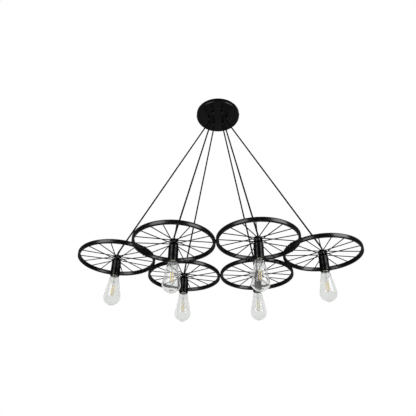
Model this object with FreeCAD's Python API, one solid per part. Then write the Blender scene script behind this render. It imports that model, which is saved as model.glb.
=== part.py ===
import FreeCAD
import Part
import math
import os
from FreeCAD import Vector

os.makedirs("parts", exist_ok=True)

# Six wheel pendant light, hung from a round canopy on the ceiling.
# Millimetres. The origin is on the ceiling plane at the middle of the canopy, +Z is up,
# and +X runs along the row of wheels. The light hangs below the origin.

# Arrangement of the wheels
DROP = 774.0  # ceiling to the middle of the four inner rims
RIM_DIAMETER = 300.0
RIM_THICKNESS = 9.5  # radial
RIM_HEIGHT = 16.0
RIM_GAP = 1.0  # between the inner rims, closed by their pads
PAD_WIDTH = 11.0
PAD_HEIGHT = 10.0

# Spokes
SPOKE_DIAMETER = 3.6
SPOKES = 18
SPOKE_END_GAP = 0.15  # weld room at the flange and at the rim

# Degrees from +X to each wheel's first spoke, which starts at the upper flange.
# No spoke ends behind the bolt of a pad.
SPOKE_TURN_LEFT = 15.0
SPOKE_TURN_NEAR_LEFT = 2.6
SPOKE_TURN_FAR_LEFT = 5.5
SPOKE_TURN_FAR_RIGHT = 2.6
SPOKE_TURN_NEAR_RIGHT = 5.5
SPOKE_TURN_RIGHT = -4.5

# Hubs, sizes from the middle of the rim
HUB_TOP = 15.4
HUB_BOTTOM = 9.2
HUB_FLANGE_RADIUS = 15.0
HUB_FLANGE_THICKNESS = 4.0
HUB_FLANGE_UP = 9.0  # middle of the upper flange
HUB_FLANGE_DOWN = 5.0  # middle of the lower flange
HUB_BARREL_RADIUS = 11.0
HUB_WAIST_RADIUS = 9.0
HUB_NECK_RADIUS = 8.0
HUB_NECK_CHAMFER = 2.0

# Cords
CORD_DIAMETER = 6.4
CORD_CLEARANCE = 0.15
CORD_SEAT_DEPTH = 8.0  # how far each end runs inside its grip or hub
CORD_BEND_RUN = 6.8  # straight way from the mouth of a grip or hub to the bend point
CORD_BEND_SHARE = 0.45  # of the shorter run, used up by the bend

# Lampholders
HOLDER_DIAMETER = 36.0
HOLDER_LENGTH = 63.2
HOLDER_WALL = 1.2
HOLDER_SHOULDER = 5.0
HOLDER_ROOF = 3.0
STEM_RADIUS = 5.0
STEM_CLEARANCE = 0.1
STEM_WIRE_RADIUS = 1.5
INSERT_CLEARANCE = 0.3
INSERT_RECESS = 1.0
SOCKET_CLEARANCE = 0.5
CONTACT_RADIUS = 5.0
CONTACT_GAP = 0.3

# Bulbs
CAP_RADIUS = 13.05
CAP_BUTTON_RADIUS = 4.5
CAP_CONE_HEIGHT = 5.0
CAP_LENGTH = 26.0
CAP_WALL = 0.6
CAP_SHOW = 3.6  # part of the cap that shows below the lampholder
GLASS_LENGTH = 115.4  # edge of the cap to the tip
GLASS_RADIUS = 32.0
GLASS_WALL = 0.9
GLASS_ROOT_RADIUS = 12.2
GLASS_ROOT_LENGTH = 2.4  # inside the cap
GLASS_NECK_RADIUS = 17.2
GLASS_NECK_LENGTH = 7.0
GLASS_SHOULDER_RADIUS = 20.8
GLASS_SHOULDER_LENGTH = 20.0  # edge of the cap to where the neck turns into the long cone
GLASS_WIDEST = 84.0  # edge of the cap to the widest place
GLASS_NOSE_RADIUS = 13.0  # where the round end turns into the nose
GLASS_NOSE_LENGTH = 5.4
BELLY_STEPS = 5
NOSE_STEPS = 2

# Stem and filaments inside a bulb
FLARE_RADIUS = 10.4
FLARE_LENGTH = 9.0
MOUNT_RADIUS = 4.0
MOUNT_LENGTH = 30.0
ROD_RADIUS = 1.0
FILAMENTS = 4
FILAMENT_RADIUS = 1.0
FILAMENT_START = 37.0
FILAMENT_LENGTH = 38.0
FILAMENT_SPREAD = 5.5
FILAMENT_PLATE = 1.0
FILAMENT_PLATE_RIM = 0.4

# Canopy
CANOPY_DIAMETER = 203.0
CANOPY_WALL = 1.5
CANOPY_DEPTH = 22.0  # ceiling to the shoulder
CANOPY_ROUND = 7.0
PLATEAU_DIAMETER = 128.0
PLATEAU_DROP = 5.0
PLATEAU_SLOPE = 8.0

# Cord grips
GRIP_RING_RADIUS = 42.0
GRIP_LENGTH = 15.0
GRIP_COLLAR_RADIUS = 6.5
GRIP_COLLAR_HEIGHT = 3.0
GRIP_BODY_RADIUS = 5.9
GRIP_TIP_RADIUS = 4.7
GRIP_SHANK_RADIUS = 5.0
GRIP_SHANK_RISE = 4.0  # above the canopy sheet
GRIP_LIP = 0.7
GRIP_HOLE_CLEARANCE = 0.1

# Mounting bracket and the two side screws
BRACKET_THICKNESS = 2.0
BRACKET_WIDTH = 22.0
BRACKET_DEPTH = 14.0
BRACKET_END_GAP = 0.9  # ear to the canopy wall, at the middle of the ear
BRACKET_CORNER = 3.0
SLOT_SPACING = 120.0
SLOT_WIDTH = 5.0
SLOT_LENGTH = 24.0
SIDE_SCREW_RADIUS = 2.0
SIDE_SCREW_DROP = 8.0
SIDE_SCREW_CLEARANCE = 0.2
SIDE_SCREW_HEAD_RADIUS = 4.0
SIDE_SCREW_HEAD_LENGTH = 1.8
SIDE_SCREW_POINT = 3.0  # beyond the ear

# Bolts that join the rims
BOLT_RADIUS = 2.0
BOLT_CLEARANCE = 0.15
BOLT_HEAD_RADIUS = 3.5
BOLT_HEAD_HEIGHT = 2.4
BOLT_KEY_FLATS = 3.0
BOLT_KEY_DEPTH = 1.4
BOLT_POINT = 0.6  # beyond the nut
NUT_FLATS = 7.0
NUT_HEIGHT = 2.6
SEAT_RADIUS = 4.4
SEAT_DEPTH = 0.3

# Cuts run past a face by this much
OVERRUN = 1.0

Z = Vector(0, 0, 1)
X = Vector(1, 0, 0)
Y = Vector(0, 1, 0)

# Places worked out from the sizes
rim_radius = RIM_DIAMETER / 2
rim_inside = rim_radius - RIM_THICKNESS
rim_middle = rim_radius - RIM_THICKNESS / 2
inner_place = (RIM_DIAMETER + RIM_GAP) / 2
outer_place = inner_place + math.sqrt((rim_middle * 2) ** 2 - inner_place ** 2)
low_level = -DROP
high_level = low_level + RIM_HEIGHT

# name, middle of the wheel, first spoke in degrees, the side of the canopy its cord leaves from
WHEELS = [
    ("left", Vector(-outer_place, 0, high_level), SPOKE_TURN_LEFT, 180),
    ("near_left", Vector(-inner_place, -inner_place, low_level), SPOKE_TURN_NEAR_LEFT, 240),
    ("far_left", Vector(-inner_place, inner_place, low_level), SPOKE_TURN_FAR_LEFT, 120),
    ("far_right", Vector(inner_place, inner_place, low_level), SPOKE_TURN_FAR_RIGHT, 60),
    ("near_right", Vector(inner_place, -inner_place, low_level), SPOKE_TURN_NEAR_RIGHT, 300),
    ("right", Vector(outer_place, 0, high_level), SPOKE_TURN_RIGHT, 0),
]


def revolved(points):
    """A solid of revolution about Z from the radius and height of each corner."""
    corners = [Vector(r, 0, z) for r, z in points]
    face = Part.Face(Part.makePolygon(corners + corners[:1]))
    return face.revolve(Vector(0, 0, 0), Z, 360)


def disc(radius, low, high):
    """A round bar about Z between two heights."""
    return Part.makeCylinder(radius, high - low, Vector(0, 0, low))


def hexagon(flats, low, high):
    """A six-sided bar about Z."""
    reach = flats / math.sqrt(3)
    corners = []
    for k in range(6):
        turn = math.radians(60 * k)
        corners.append(Vector(reach * math.cos(turn), reach * math.sin(turn), low))
    face = Part.Face(Part.makePolygon(corners + corners[:1]))
    return face.extrude(Vector(0, 0, high - low))


def placed(shape, place, axis=Z):
    """A copy whose own Z is turned to an axis and whose origin is moved to a place."""
    copy = shape.copy()
    turn = FreeCAD.Rotation(Z, axis)
    copy.Placement = FreeCAD.Placement(place, turn).multiply(copy.Placement)
    return copy


def save(name, shapes):
    """Writes the solids of one named piece to its file."""
    solids = []
    for shape in shapes:
        solids.extend(shape.Solids)
    whole = solids[0] if len(solids) == 1 else Part.makeCompound(solids)
    if not whole.isValid():
        print("not valid:", name)
    whole.exportStep("parts/" + name + ".step")
    return whole


# Joints between the rims
def rim_joints():
    """The bolts along the pads of the inner rims, then those through the stacked rims."""
    seat = rim_radius + RIM_GAP / 2 - rim_inside - SEAT_DEPTH
    joints = []
    for side in (-1, 1):
        joints.append((Vector(0, side * inner_place, low_level), X, seat))
        joints.append((Vector(side * inner_place, 0, low_level), Y, seat))
    for side in (-1, 1):
        for way in (-1, 1):
            middle_x = side * (inner_place + outer_place) / 2
            middle_y = way * inner_place / 2
            middle = Vector(middle_x, middle_y, (low_level + high_level) / 2)
            joints.append((middle, Z, RIM_HEIGHT))
    return joints


def joint_bolt(half):
    """A socket head bolt whose head sits at -half and whose nut sits at +half."""
    shank = disc(BOLT_RADIUS, -half, half + NUT_HEIGHT + BOLT_POINT)
    head = disc(BOLT_HEAD_RADIUS, -half - BOLT_HEAD_HEIGHT, -half)
    key_end = -half - BOLT_HEAD_HEIGHT + BOLT_KEY_DEPTH
    key = hexagon(BOLT_KEY_FLATS, -half - BOLT_HEAD_HEIGHT - OVERRUN, key_end)
    return head.fuse(shank).removeSplitter().cut(key)


def joint_nut(half):
    """The nut of a joint bolt."""
    body = hexagon(NUT_FLATS, half, half + NUT_HEIGHT)
    return body.cut(disc(BOLT_RADIUS, half - OVERRUN, half + NUT_HEIGHT + OVERRUN))


def make_joints():
    """All bolts and all nuts. The upright ones have their heads on top."""
    bolts = []
    nuts = []
    for middle, axis, half in rim_joints():
        way = axis if axis != Z else Z.negative()
        bolts.append(placed(joint_bolt(half), middle, way))
        nuts.append(placed(joint_nut(half), middle, way))
    save("rim_bolts", bolts)
    save("rim_nuts", nuts)


def make_rim(name, middle):
    """One hoop, with pads towards its neighbours and the holes of its bolts."""
    rim = disc(rim_radius, -RIM_HEIGHT / 2, RIM_HEIGHT / 2)
    pad_reach = rim_radius + RIM_GAP / 2
    if middle.y != 0:
        across = Part.makeBox(pad_reach, PAD_WIDTH, PAD_HEIGHT, Vector(0, -PAD_WIDTH / 2, -PAD_HEIGHT / 2))
        inward_x = 0 if middle.x < 0 else 180
        inward_y = 90 if middle.y < 0 else 270
        for turn in (inward_x, inward_y):
            pad = across.copy()
            pad.rotate(Vector(0, 0, 0), Z, turn)
            rim = rim.fuse(pad)
    rim = rim.cut(disc(rim_inside, -RIM_HEIGHT, RIM_HEIGHT))
    rim = rim.removeSplitter()
    rim.translate(middle)
    for place, axis, half in rim_joints():
        hole = disc(BOLT_RADIUS + BOLT_CLEARANCE, -half - OVERRUN, half + OVERRUN)
        rim = rim.cut(placed(hole, place, axis))
        if axis != Z:
            for side in (-1, 1):
                seat = disc(SEAT_RADIUS, half, half + SEAT_DEPTH + OVERRUN)
                rim = rim.cut(placed(seat, place, axis * side))
    return save("rim_" + name, [rim])


def make_spokes(name, middle, first):
    """Straight wire spokes, in turn from the upper and the lower hub flange to the rim."""
    pair = []
    for level in (HUB_FLANGE_UP, -HUB_FLANGE_DOWN):
        start = Vector(HUB_FLANGE_RADIUS + SPOKE_END_GAP, 0, level)
        end = Vector(rim_inside - SPOKE_END_GAP, 0, 0)
        pair.append(Part.makeCylinder(SPOKE_DIAMETER / 2, (end - start).Length, start, end - start))
    spokes = []
    for k in range(SPOKES):
        spoke = pair[k % 2].copy()
        spoke.rotate(Vector(0, 0, 0), Z, first + 360 * k / SPOKES)
        spoke.translate(middle)
        spokes.append(spoke)
    return save("spokes_" + name, spokes)


def make_hub(name, middle):
    """A spool with two flanges, bored for the stem below and for the cord above."""
    half = HUB_FLANGE_THICKNESS / 2
    stem_bore = STEM_RADIUS + STEM_CLEARANCE
    cord_bore = CORD_DIAMETER / 2 + CORD_CLEARANCE
    stem_end = HUB_TOP - CORD_SEAT_DEPTH
    hub = revolved([
        (stem_bore, -HUB_BOTTOM),
        (HUB_BARREL_RADIUS, -HUB_BOTTOM),
        (HUB_BARREL_RADIUS, -HUB_FLANGE_DOWN - half),
        (HUB_FLANGE_RADIUS, -HUB_FLANGE_DOWN - half),
        (HUB_FLANGE_RADIUS, -HUB_FLANGE_DOWN + half),
        (HUB_WAIST_RADIUS, -HUB_FLANGE_DOWN + half),
        (HUB_WAIST_RADIUS, HUB_FLANGE_UP - half),
        (HUB_FLANGE_RADIUS, HUB_FLANGE_UP - half),
        (HUB_FLANGE_RADIUS, HUB_FLANGE_UP + half),
        (HUB_NECK_RADIUS, HUB_FLANGE_UP + half),
        (HUB_NECK_RADIUS, HUB_TOP - HUB_NECK_CHAMFER),
        (HUB_NECK_RADIUS - HUB_NECK_CHAMFER, HUB_TOP),
        (cord_bore, HUB_TOP),
        (cord_bore, stem_end),
        (stem_bore, stem_end),
    ])
    hub.translate(middle)
    return save("hub_" + name, [hub])


# Lampholders
def make_holder(name, middle):
    """A metal cup with a stem up through the hub, and the socket insert inside it."""
    outside = HOLDER_DIAMETER / 2
    inside = outside - HOLDER_WALL
    top = -HUB_BOTTOM
    low = top - HOLDER_LENGTH
    stem_end = HUB_TOP - CORD_SEAT_DEPTH
    cup = revolved([
        (STEM_WIRE_RADIUS, stem_end),
        (STEM_RADIUS, stem_end),
        (STEM_RADIUS, top),
        (outside - HOLDER_SHOULDER, top),
        (outside, top - HOLDER_SHOULDER),
        (outside, low),
        (inside, low),
        (inside, top - HOLDER_SHOULDER - HOLDER_ROOF),
        (outside - HOLDER_SHOULDER - HOLDER_WALL, top - HOLDER_ROOF),
        (STEM_WIRE_RADIUS, top - HOLDER_ROOF),
    ])
    cup.translate(middle)
    save("holder_" + name, [cup])
    body = inside - INSERT_CLEARANCE
    socket = CAP_RADIUS + SOCKET_CLEARANCE
    roof = top - HOLDER_ROOF
    floor = low + CAP_LENGTH - CAP_SHOW + CONTACT_GAP
    insert = revolved([
        (0, roof),
        (outside - HOLDER_SHOULDER - HOLDER_WALL, roof),
        (body, roof - HOLDER_SHOULDER),
        (body, low + INSERT_RECESS),
        (socket, low + INSERT_RECESS),
        (socket, floor - CAP_CONE_HEIGHT),
        (CONTACT_RADIUS, floor),
        (0, floor),
    ])
    insert.translate(middle)
    return save("socket_" + name, [insert])


# Bulbs
def glass_outline(wall):
    """Radius and height of the glass from its root to the tip, moved inwards by a wall."""
    tip = -GLASS_LENGTH + wall
    wide = GLASS_RADIUS - wall
    nose = GLASS_NOSE_RADIUS - wall / 2
    nose_level = tip + GLASS_NOSE_LENGTH
    # the belly leaves the widest place upright and the nose meets the tip level
    across = wide - nose
    down = -GLASS_WIDEST - nose_level
    belly_radius = (across ** 2 + down ** 2) / (across * 2)
    belly_turn = math.asin(down / belly_radius)
    nose_radius = (nose ** 2 + GLASS_NOSE_LENGTH ** 2) / (GLASS_NOSE_LENGTH * 2)
    nose_turn = math.asin(nose / nose_radius)
    points = [
        (GLASS_ROOT_RADIUS - wall, GLASS_ROOT_LENGTH),
        (GLASS_ROOT_RADIUS - wall, -wall),
        (GLASS_NECK_RADIUS - wall, -GLASS_NECK_LENGTH),
        (GLASS_SHOULDER_RADIUS - wall, -GLASS_SHOULDER_LENGTH),
    ]
    for k in range(BELLY_STEPS + 1):
        turn = belly_turn * k / BELLY_STEPS
        points.append((wide - belly_radius * (1 - math.cos(turn)), -GLASS_WIDEST - belly_radius * math.sin(turn)))
    for k in range(1, NOSE_STEPS + 1):
        turn = nose_turn * (1 - k / NOSE_STEPS)
        points.append((nose_radius * math.sin(turn), tip + nose_radius * (1 - math.cos(turn))))
    return points


def glass_body(wall):
    """The glass shape as a full solid about Z."""
    return revolved(glass_outline(wall) + [(0, GLASS_ROOT_LENGTH)])


def make_bulb(name, middle):
    """Screw cap, clear glass and the stem with its filaments."""
    place = middle - Vector(0, 0, HUB_BOTTOM + HOLDER_LENGTH + CAP_SHOW)
    skirt = CAP_RADIUS - CAP_WALL
    thread = CAP_LENGTH - CAP_CONE_HEIGHT
    cap = revolved([
        (0, CAP_LENGTH),
        (CAP_BUTTON_RADIUS, CAP_LENGTH),
        (CAP_RADIUS, thread),
        (CAP_RADIUS, 0),
        (skirt, 0),
        (skirt, thread - CAP_WALL),
        (0, thread - CAP_WALL),
    ])
    cap.translate(place)
    save("bulb_" + name + "_cap", [cap])
    glass = glass_body(0).cut(glass_body(GLASS_WALL))
    glass.translate(place)
    save("bulb_" + name + "_glass", [glass])
    plate = FILAMENT_SPREAD + FILAMENT_RADIUS + FILAMENT_PLATE_RIM
    upper = FILAMENT_START - FILAMENT_PLATE
    lower = FILAMENT_START + FILAMENT_LENGTH
    stem = revolved([
        (0, GLASS_ROOT_LENGTH),
        (FLARE_RADIUS, GLASS_ROOT_LENGTH),
        (FLARE_RADIUS, 0),
        (MOUNT_RADIUS, -FLARE_LENGTH),
        (MOUNT_RADIUS, -MOUNT_LENGTH),
        (ROD_RADIUS, -MOUNT_LENGTH),
        (ROD_RADIUS, -upper),
        (plate, -upper),
        (plate, -FILAMENT_START),
        (ROD_RADIUS, -FILAMENT_START),
        (ROD_RADIUS, -lower),
        (plate, -lower),
        (plate, -lower - FILAMENT_PLATE),
        (0, -lower - FILAMENT_PLATE),
    ])
    sticks = []
    for k in range(FILAMENTS):
        turn = math.radians(360 * k / FILAMENTS + 45)
        stick = disc(FILAMENT_RADIUS, -lower, -FILAMENT_START)
        stick.translate(Vector(math.cos(turn), math.sin(turn), 0) * FILAMENT_SPREAD)
        sticks.append(stick)
    stem = stem.fuse(sticks)
    stem.translate(place)
    return save("bulb_" + name + "_filament", [stem])


# Canopy, bracket and grips
def make_canopy():
    """A shallow spun dish with a rounded edge and a raised round middle."""
    radius = CANOPY_DIAMETER / 2
    plateau = PLATEAU_DIAMETER / 2
    bottom = -CANOPY_DEPTH - PLATEAU_DROP

    def dish(wall):
        round_radius = CANOPY_ROUND - wall
        corner = Vector(radius - CANOPY_ROUND, 0, -CANOPY_DEPTH + CANOPY_ROUND)
        diagonal = math.sin(math.radians(45)) * round_radius
        lip = Vector(radius - wall, 0, 0)
        side = Vector(radius - wall, 0, corner.z)
        bend = corner + Vector(diagonal, 0, -diagonal)
        under = Vector(corner.x, 0, -CANOPY_DEPTH + wall)
        step = Vector(plateau + PLATEAU_SLOPE / 2, 0, -CANOPY_DEPTH + wall)
        flat = Vector(plateau - PLATEAU_SLOPE / 2, 0, bottom + wall)
        centre = Vector(0, 0, bottom + wall)
        top = Vector(0, 0, 0)
        edges = [
            Part.LineSegment(lip, side).toShape(),
            Part.Arc(side, bend, under).toShape(),
            Part.LineSegment(under, step).toShape(),
            Part.LineSegment(step, flat).toShape(),
            Part.LineSegment(flat, centre).toShape(),
            Part.LineSegment(centre, top).toShape(),
            Part.LineSegment(top, lip).toShape(),
        ]
        return Part.Face(Part.Wire(edges)).revolve(Vector(0, 0, 0), Z, 360)

    canopy = dish(0).cut(dish(CANOPY_WALL))
    hole = disc(GRIP_SHANK_RADIUS + GRIP_HOLE_CLEARANCE, bottom - OVERRUN, bottom + CANOPY_WALL + OVERRUN)
    for place in grip_places():
        canopy = canopy.cut(placed(hole, Vector(place.x, place.y, 0)))
    inside = radius - CANOPY_WALL
    for side in (-1, 1):
        bore = disc(SIDE_SCREW_RADIUS + SIDE_SCREW_CLEARANCE, inside - OVERRUN, radius + OVERRUN)
        canopy = canopy.cut(placed(bore, Vector(0, 0, -SIDE_SCREW_DROP), X * side))
    return save("canopy", [canopy])


def make_bracket():
    """A flat strap with two slots for the ceiling screws and two ears for the side screws."""
    reach = CANOPY_DIAMETER / 2 - CANOPY_WALL - BRACKET_END_GAP
    strap = Part.makeBox(
        reach * 2, BRACKET_WIDTH, BRACKET_THICKNESS, Vector(-reach, -BRACKET_WIDTH / 2, -BRACKET_THICKNESS)
    )
    for side in (-1, 1):
        low = reach - BRACKET_THICKNESS if side > 0 else -reach
        ear = Part.makeBox(
            BRACKET_THICKNESS, BRACKET_WIDTH, BRACKET_DEPTH, Vector(low, -BRACKET_WIDTH / 2, -BRACKET_DEPTH)
        )
        strap = strap.fuse(ear)
    strap = strap.removeSplitter()
    corners = []
    for edge in strap.Edges:
        middle = edge.CenterOfMass
        if abs(middle.z + BRACKET_DEPTH) < BRACKET_THICKNESS and edge.Length < BRACKET_THICKNESS * 1.01:
            corners.append(edge)
    if corners:
        strap = strap.makeFillet(BRACKET_CORNER, corners)
    slot_radius = SLOT_WIDTH / 2
    slot_reach = SLOT_LENGTH / 2 - slot_radius
    for side in (-1, 1):
        middle = side * SLOT_SPACING / 2
        slot = Part.makeBox(
            slot_reach * 2,
            SLOT_WIDTH,
            BRACKET_THICKNESS + OVERRUN * 2,
            Vector(middle - slot_reach, -slot_radius, -BRACKET_THICKNESS - OVERRUN),
        )
        for end in (-1, 1):
            round_end = disc(slot_radius, -BRACKET_THICKNESS - OVERRUN, OVERRUN)
            round_end.translate(Vector(middle + end * slot_reach, 0, 0))
            slot = slot.fuse(round_end)
        strap = strap.cut(slot)
        thread = disc(SIDE_SCREW_RADIUS, reach - BRACKET_THICKNESS - OVERRUN, reach + OVERRUN)
        strap = strap.cut(placed(thread, Vector(0, 0, -SIDE_SCREW_DROP), X * side))
    return save("mounting_bracket", [strap])


def make_side_screws():
    """Two short screws through the canopy wall into the ears of the bracket."""
    radius = CANOPY_DIAMETER / 2
    inner = radius - CANOPY_WALL - BRACKET_END_GAP - BRACKET_THICKNESS - SIDE_SCREW_POINT
    screws = []
    for side in (-1, 1):
        shank = disc(SIDE_SCREW_RADIUS, inner, radius)
        head = disc(SIDE_SCREW_HEAD_RADIUS, radius, radius + SIDE_SCREW_HEAD_LENGTH)
        screw = head.fuse(shank).removeSplitter()
        screws.append(placed(screw, Vector(0, 0, -SIDE_SCREW_DROP), X * side))
    return save("canopy_screws", screws)


def grip_places():
    """The mouth of each grip, one for each wheel."""
    mouth = -CANOPY_DEPTH - PLATEAU_DROP - GRIP_LENGTH
    places = []
    for name, middle, first, side in WHEELS:
        turn = math.radians(side)
        places.append(Vector(GRIP_RING_RADIUS * math.cos(turn), GRIP_RING_RADIUS * math.sin(turn), mouth))
    return places


def make_grips():
    """Push-in strain reliefs, each with a collar, a tapered body and a lip behind the sheet."""
    bore = CORD_DIAMETER / 2 + CORD_CLEARANCE
    hold = GRIP_SHANK_RADIUS + GRIP_HOLE_CLEARANCE + GRIP_LIP
    sheet = GRIP_LENGTH + CANOPY_WALL
    grip = revolved([
        (bore, 0),
        (GRIP_TIP_RADIUS, 0),
        (GRIP_BODY_RADIUS, GRIP_LENGTH - GRIP_COLLAR_HEIGHT),
        (GRIP_COLLAR_RADIUS, GRIP_LENGTH - GRIP_COLLAR_HEIGHT),
        (GRIP_COLLAR_RADIUS, GRIP_LENGTH),
        (GRIP_SHANK_RADIUS, GRIP_LENGTH),
        (GRIP_SHANK_RADIUS, sheet),
        (hold, sheet),
        (GRIP_SHANK_RADIUS - GRIP_LIP, sheet + GRIP_SHANK_RISE),
        (0, sheet + GRIP_SHANK_RISE),
        (0, CORD_SEAT_DEPTH),
        (bore, CORD_SEAT_DEPTH),
    ])
    return save("cord_grips", [placed(grip, place) for place in grip_places()])


# Cords
def make_cord(name, mouth, middle):
    """A taut cord: up into its grip, one straight run, and down into the top of its hub."""
    top = middle + Vector(0, 0, HUB_TOP)
    route = [
        mouth + Vector(0, 0, CORD_SEAT_DEPTH),
        mouth - Vector(0, 0, CORD_BEND_RUN),
        top + Vector(0, 0, CORD_BEND_RUN),
        top - Vector(0, 0, CORD_SEAT_DEPTH),
    ]
    edges = []
    start = route[0]
    length = 0
    for k in range(1, len(route) - 1):
        back = route[k - 1] - route[k]
        ahead = route[k + 1] - route[k]
        trim = CORD_BEND_SHARE * min(back.Length, ahead.Length)
        inwards = Vector(back).normalize()
        outwards = Vector(ahead).normalize()
        turn = math.pi - inwards.getAngle(outwards)
        radius = trim / math.tan(turn / 2)
        enter = route[k] + inwards * trim
        leave = route[k] + outwards * trim
        to_centre = (inwards + outwards).normalize()
        centre = route[k] + to_centre * math.hypot(trim, radius)
        half_way = centre - to_centre * radius
        edges.append(Part.LineSegment(start, enter).toShape())
        edges.append(Part.Arc(enter, half_way, leave).toShape())
        length += (enter - start).Length + radius * turn
        start = leave
        print("cord", name, "bend", k, "radius", round(radius, 1), "turn", round(math.degrees(turn), 1))
    edges.append(Part.LineSegment(start, route[-1]).toShape())
    length += (route[-1] - start).Length
    section = Part.Wire(Part.Circle(route[0], Z, CORD_DIAMETER / 2).toShape())
    cord = Part.Wire(edges).makePipeShell([section], True, False)
    expected = math.pi * CORD_DIAMETER ** 2 / 4 * length
    print("cord", name, "length", round(length, 1), "volume share", round(cord.Volume / expected, 5))
    for point in route:
        print("   route", round(point.x, 3), round(point.y, 3), round(point.z, 3))
    return save("cord_" + name, [cord])


make_canopy()
make_bracket()
make_side_screws()
make_grips()
make_joints()
for wheel, mouth in zip(WHEELS, grip_places()):
    name, middle, first, side = wheel
    make_rim(name, middle)
    make_spokes(name, middle, first)
    make_hub(name, middle)
    make_holder(name, middle)
    make_bulb(name, middle)
    make_cord(name, mouth, middle)
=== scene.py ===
# %% [markdown]
# # A pendant light with six spoked wheels
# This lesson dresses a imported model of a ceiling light: a round canopy, six taut cords, six flat
# wheels, and under each wheel a lampholder with a clear bulb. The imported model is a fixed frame:
# it gives every piece its place, and this file gives each piece its finish and its small detail.

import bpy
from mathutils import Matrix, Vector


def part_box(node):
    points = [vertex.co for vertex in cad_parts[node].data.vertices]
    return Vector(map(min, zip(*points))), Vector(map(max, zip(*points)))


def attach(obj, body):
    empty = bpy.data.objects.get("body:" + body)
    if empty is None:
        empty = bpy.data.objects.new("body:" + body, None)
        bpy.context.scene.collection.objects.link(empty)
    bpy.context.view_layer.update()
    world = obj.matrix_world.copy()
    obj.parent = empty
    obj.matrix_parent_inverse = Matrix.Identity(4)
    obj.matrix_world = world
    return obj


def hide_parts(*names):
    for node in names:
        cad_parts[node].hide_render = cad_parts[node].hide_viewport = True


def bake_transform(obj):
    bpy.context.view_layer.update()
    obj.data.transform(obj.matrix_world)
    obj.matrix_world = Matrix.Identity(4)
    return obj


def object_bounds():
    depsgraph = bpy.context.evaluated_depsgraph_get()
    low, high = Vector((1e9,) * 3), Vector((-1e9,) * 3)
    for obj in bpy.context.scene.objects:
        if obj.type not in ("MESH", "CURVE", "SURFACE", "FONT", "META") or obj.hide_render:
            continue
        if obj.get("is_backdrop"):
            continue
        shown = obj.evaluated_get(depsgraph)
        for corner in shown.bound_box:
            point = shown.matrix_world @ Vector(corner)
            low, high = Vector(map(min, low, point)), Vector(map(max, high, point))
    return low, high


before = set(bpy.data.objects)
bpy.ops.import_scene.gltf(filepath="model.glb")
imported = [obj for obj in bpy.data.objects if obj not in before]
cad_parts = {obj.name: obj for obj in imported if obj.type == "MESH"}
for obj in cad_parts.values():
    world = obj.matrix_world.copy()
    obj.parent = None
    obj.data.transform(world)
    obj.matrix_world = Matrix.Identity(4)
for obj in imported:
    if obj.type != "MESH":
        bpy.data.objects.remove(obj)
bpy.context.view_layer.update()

# %% Blender's own modules
import math

import bmesh
import bpy
from mathutils import Matrix, Vector

scene = bpy.context.scene
scene.view_settings.view_transform = "Standard"
MM = 0.001

# %% [markdown]
# ## The camera
# The light hangs above eye level, so the camera stands low in front of it and looks up. Its place
# and turn were worked out from the ellipses of the wheels and from the bulb tips. They are typed
# here as numbers, because a camera aimed with a tracking constraint would lose its small roll.

# %% Set up the camera
camera = bpy.data.objects.new("camera", bpy.data.cameras.new("camera"))
scene.collection.objects.link(camera)
camera.location = (0.08527, -1.49937, -1.49213)
camera.rotation_euler = [math.radians(angle) for angle in (122.4527, -0.6332, 4.4422)]
camera.data.sensor_width = 36
camera.data.lens = 37.0656
camera.data.clip_end = 50
scene.camera = camera
print("camera lens", camera.data.lens, "mm")

# %% [markdown]
# ## Where the wheels are
# Four wheels touch in a square. The two outer wheels lie one rim height higher and rest on them.
# Each wheel has a name and a way in which its cord leaves the canopy. The middle of its rim comes
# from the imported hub, so it can't drift away from the frame.

# %% Read the wheels from the frame
GRIP_RING = 42 * MM
MOUTH = -42 * MM
HUB_TOP = 15.4 * MM
CORD_WAYS = {
    "left": 180, "near_left": 240, "far_left": 120, "far_right": 60, "near_right": 300, "right": 0}
middles, mouths = {}, {}
for name, way in CORD_WAYS.items():
    low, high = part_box("hub_" + name)
    middles[name] = Vector(((low.x + high.x) / 2, (low.y + high.y) / 2, high.z - HUB_TOP))
    turn = math.radians(way)
    mouths[name] = Vector((GRIP_RING * math.cos(turn), GRIP_RING * math.sin(turn), MOUTH))
    print(name, [round(v / MM, 1) for v in middles[name]])

# %% [markdown]
# ## Nodes and colours
# Materials and geometry trees are both made of nodes. One small function feeds the inputs of a node
# with values or links, and one adds a node, sets it and feeds it. Colours are written as sRGB hex,
# as a colour picker gives them, and one function turns them into the linear numbers that Blender
# works with. A Mix node takes its two colours at 6 and 7 and gives the mixed one at 2. The scale of
# a texture is written as 1000 over the size of its features in millimetres.

# %% Small helpers
def feed(node, inputs):
    """Feeds inputs of a node with values or with links."""
    for key, value in inputs.items():
        if isinstance(value, bpy.types.NodeSocket):
            node.id_data.links.new(value, node.inputs[key])
        else:
            node.inputs[key].default_value = value


def add(tree, kind, settings=None, inputs=None):
    """Adds a node, sets it and feeds it."""
    made = tree.nodes.new(kind)
    for key, value in (settings or {}).items():
        setattr(made, key, value)
    feed(made, inputs or {})
    return made


def linear(code):
    """A hex colour as linear red, green, blue and alpha."""
    parts = [int(code[k:k + 2], 16) / 255 for k in (0, 2, 4)]
    return [c / 12.92 if c <= 0.04045 else ((c + 0.055) / 1.055) ** 2.4 for c in parts] + [1]


def finish_of(name, values):
    """A new material with its shader's own sockets set. Gives the material, its tree and shader."""
    made = bpy.data.materials.new(name)
    made.use_nodes = True
    shader = made.node_tree.nodes["Principled BSDF"]
    feed(shader, values)
    return made, made.node_tree, shader


def refinish(node, finish):
    """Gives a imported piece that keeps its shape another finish."""
    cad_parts[node].data.materials.clear()
    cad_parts[node].data.materials.append(finish)


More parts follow.
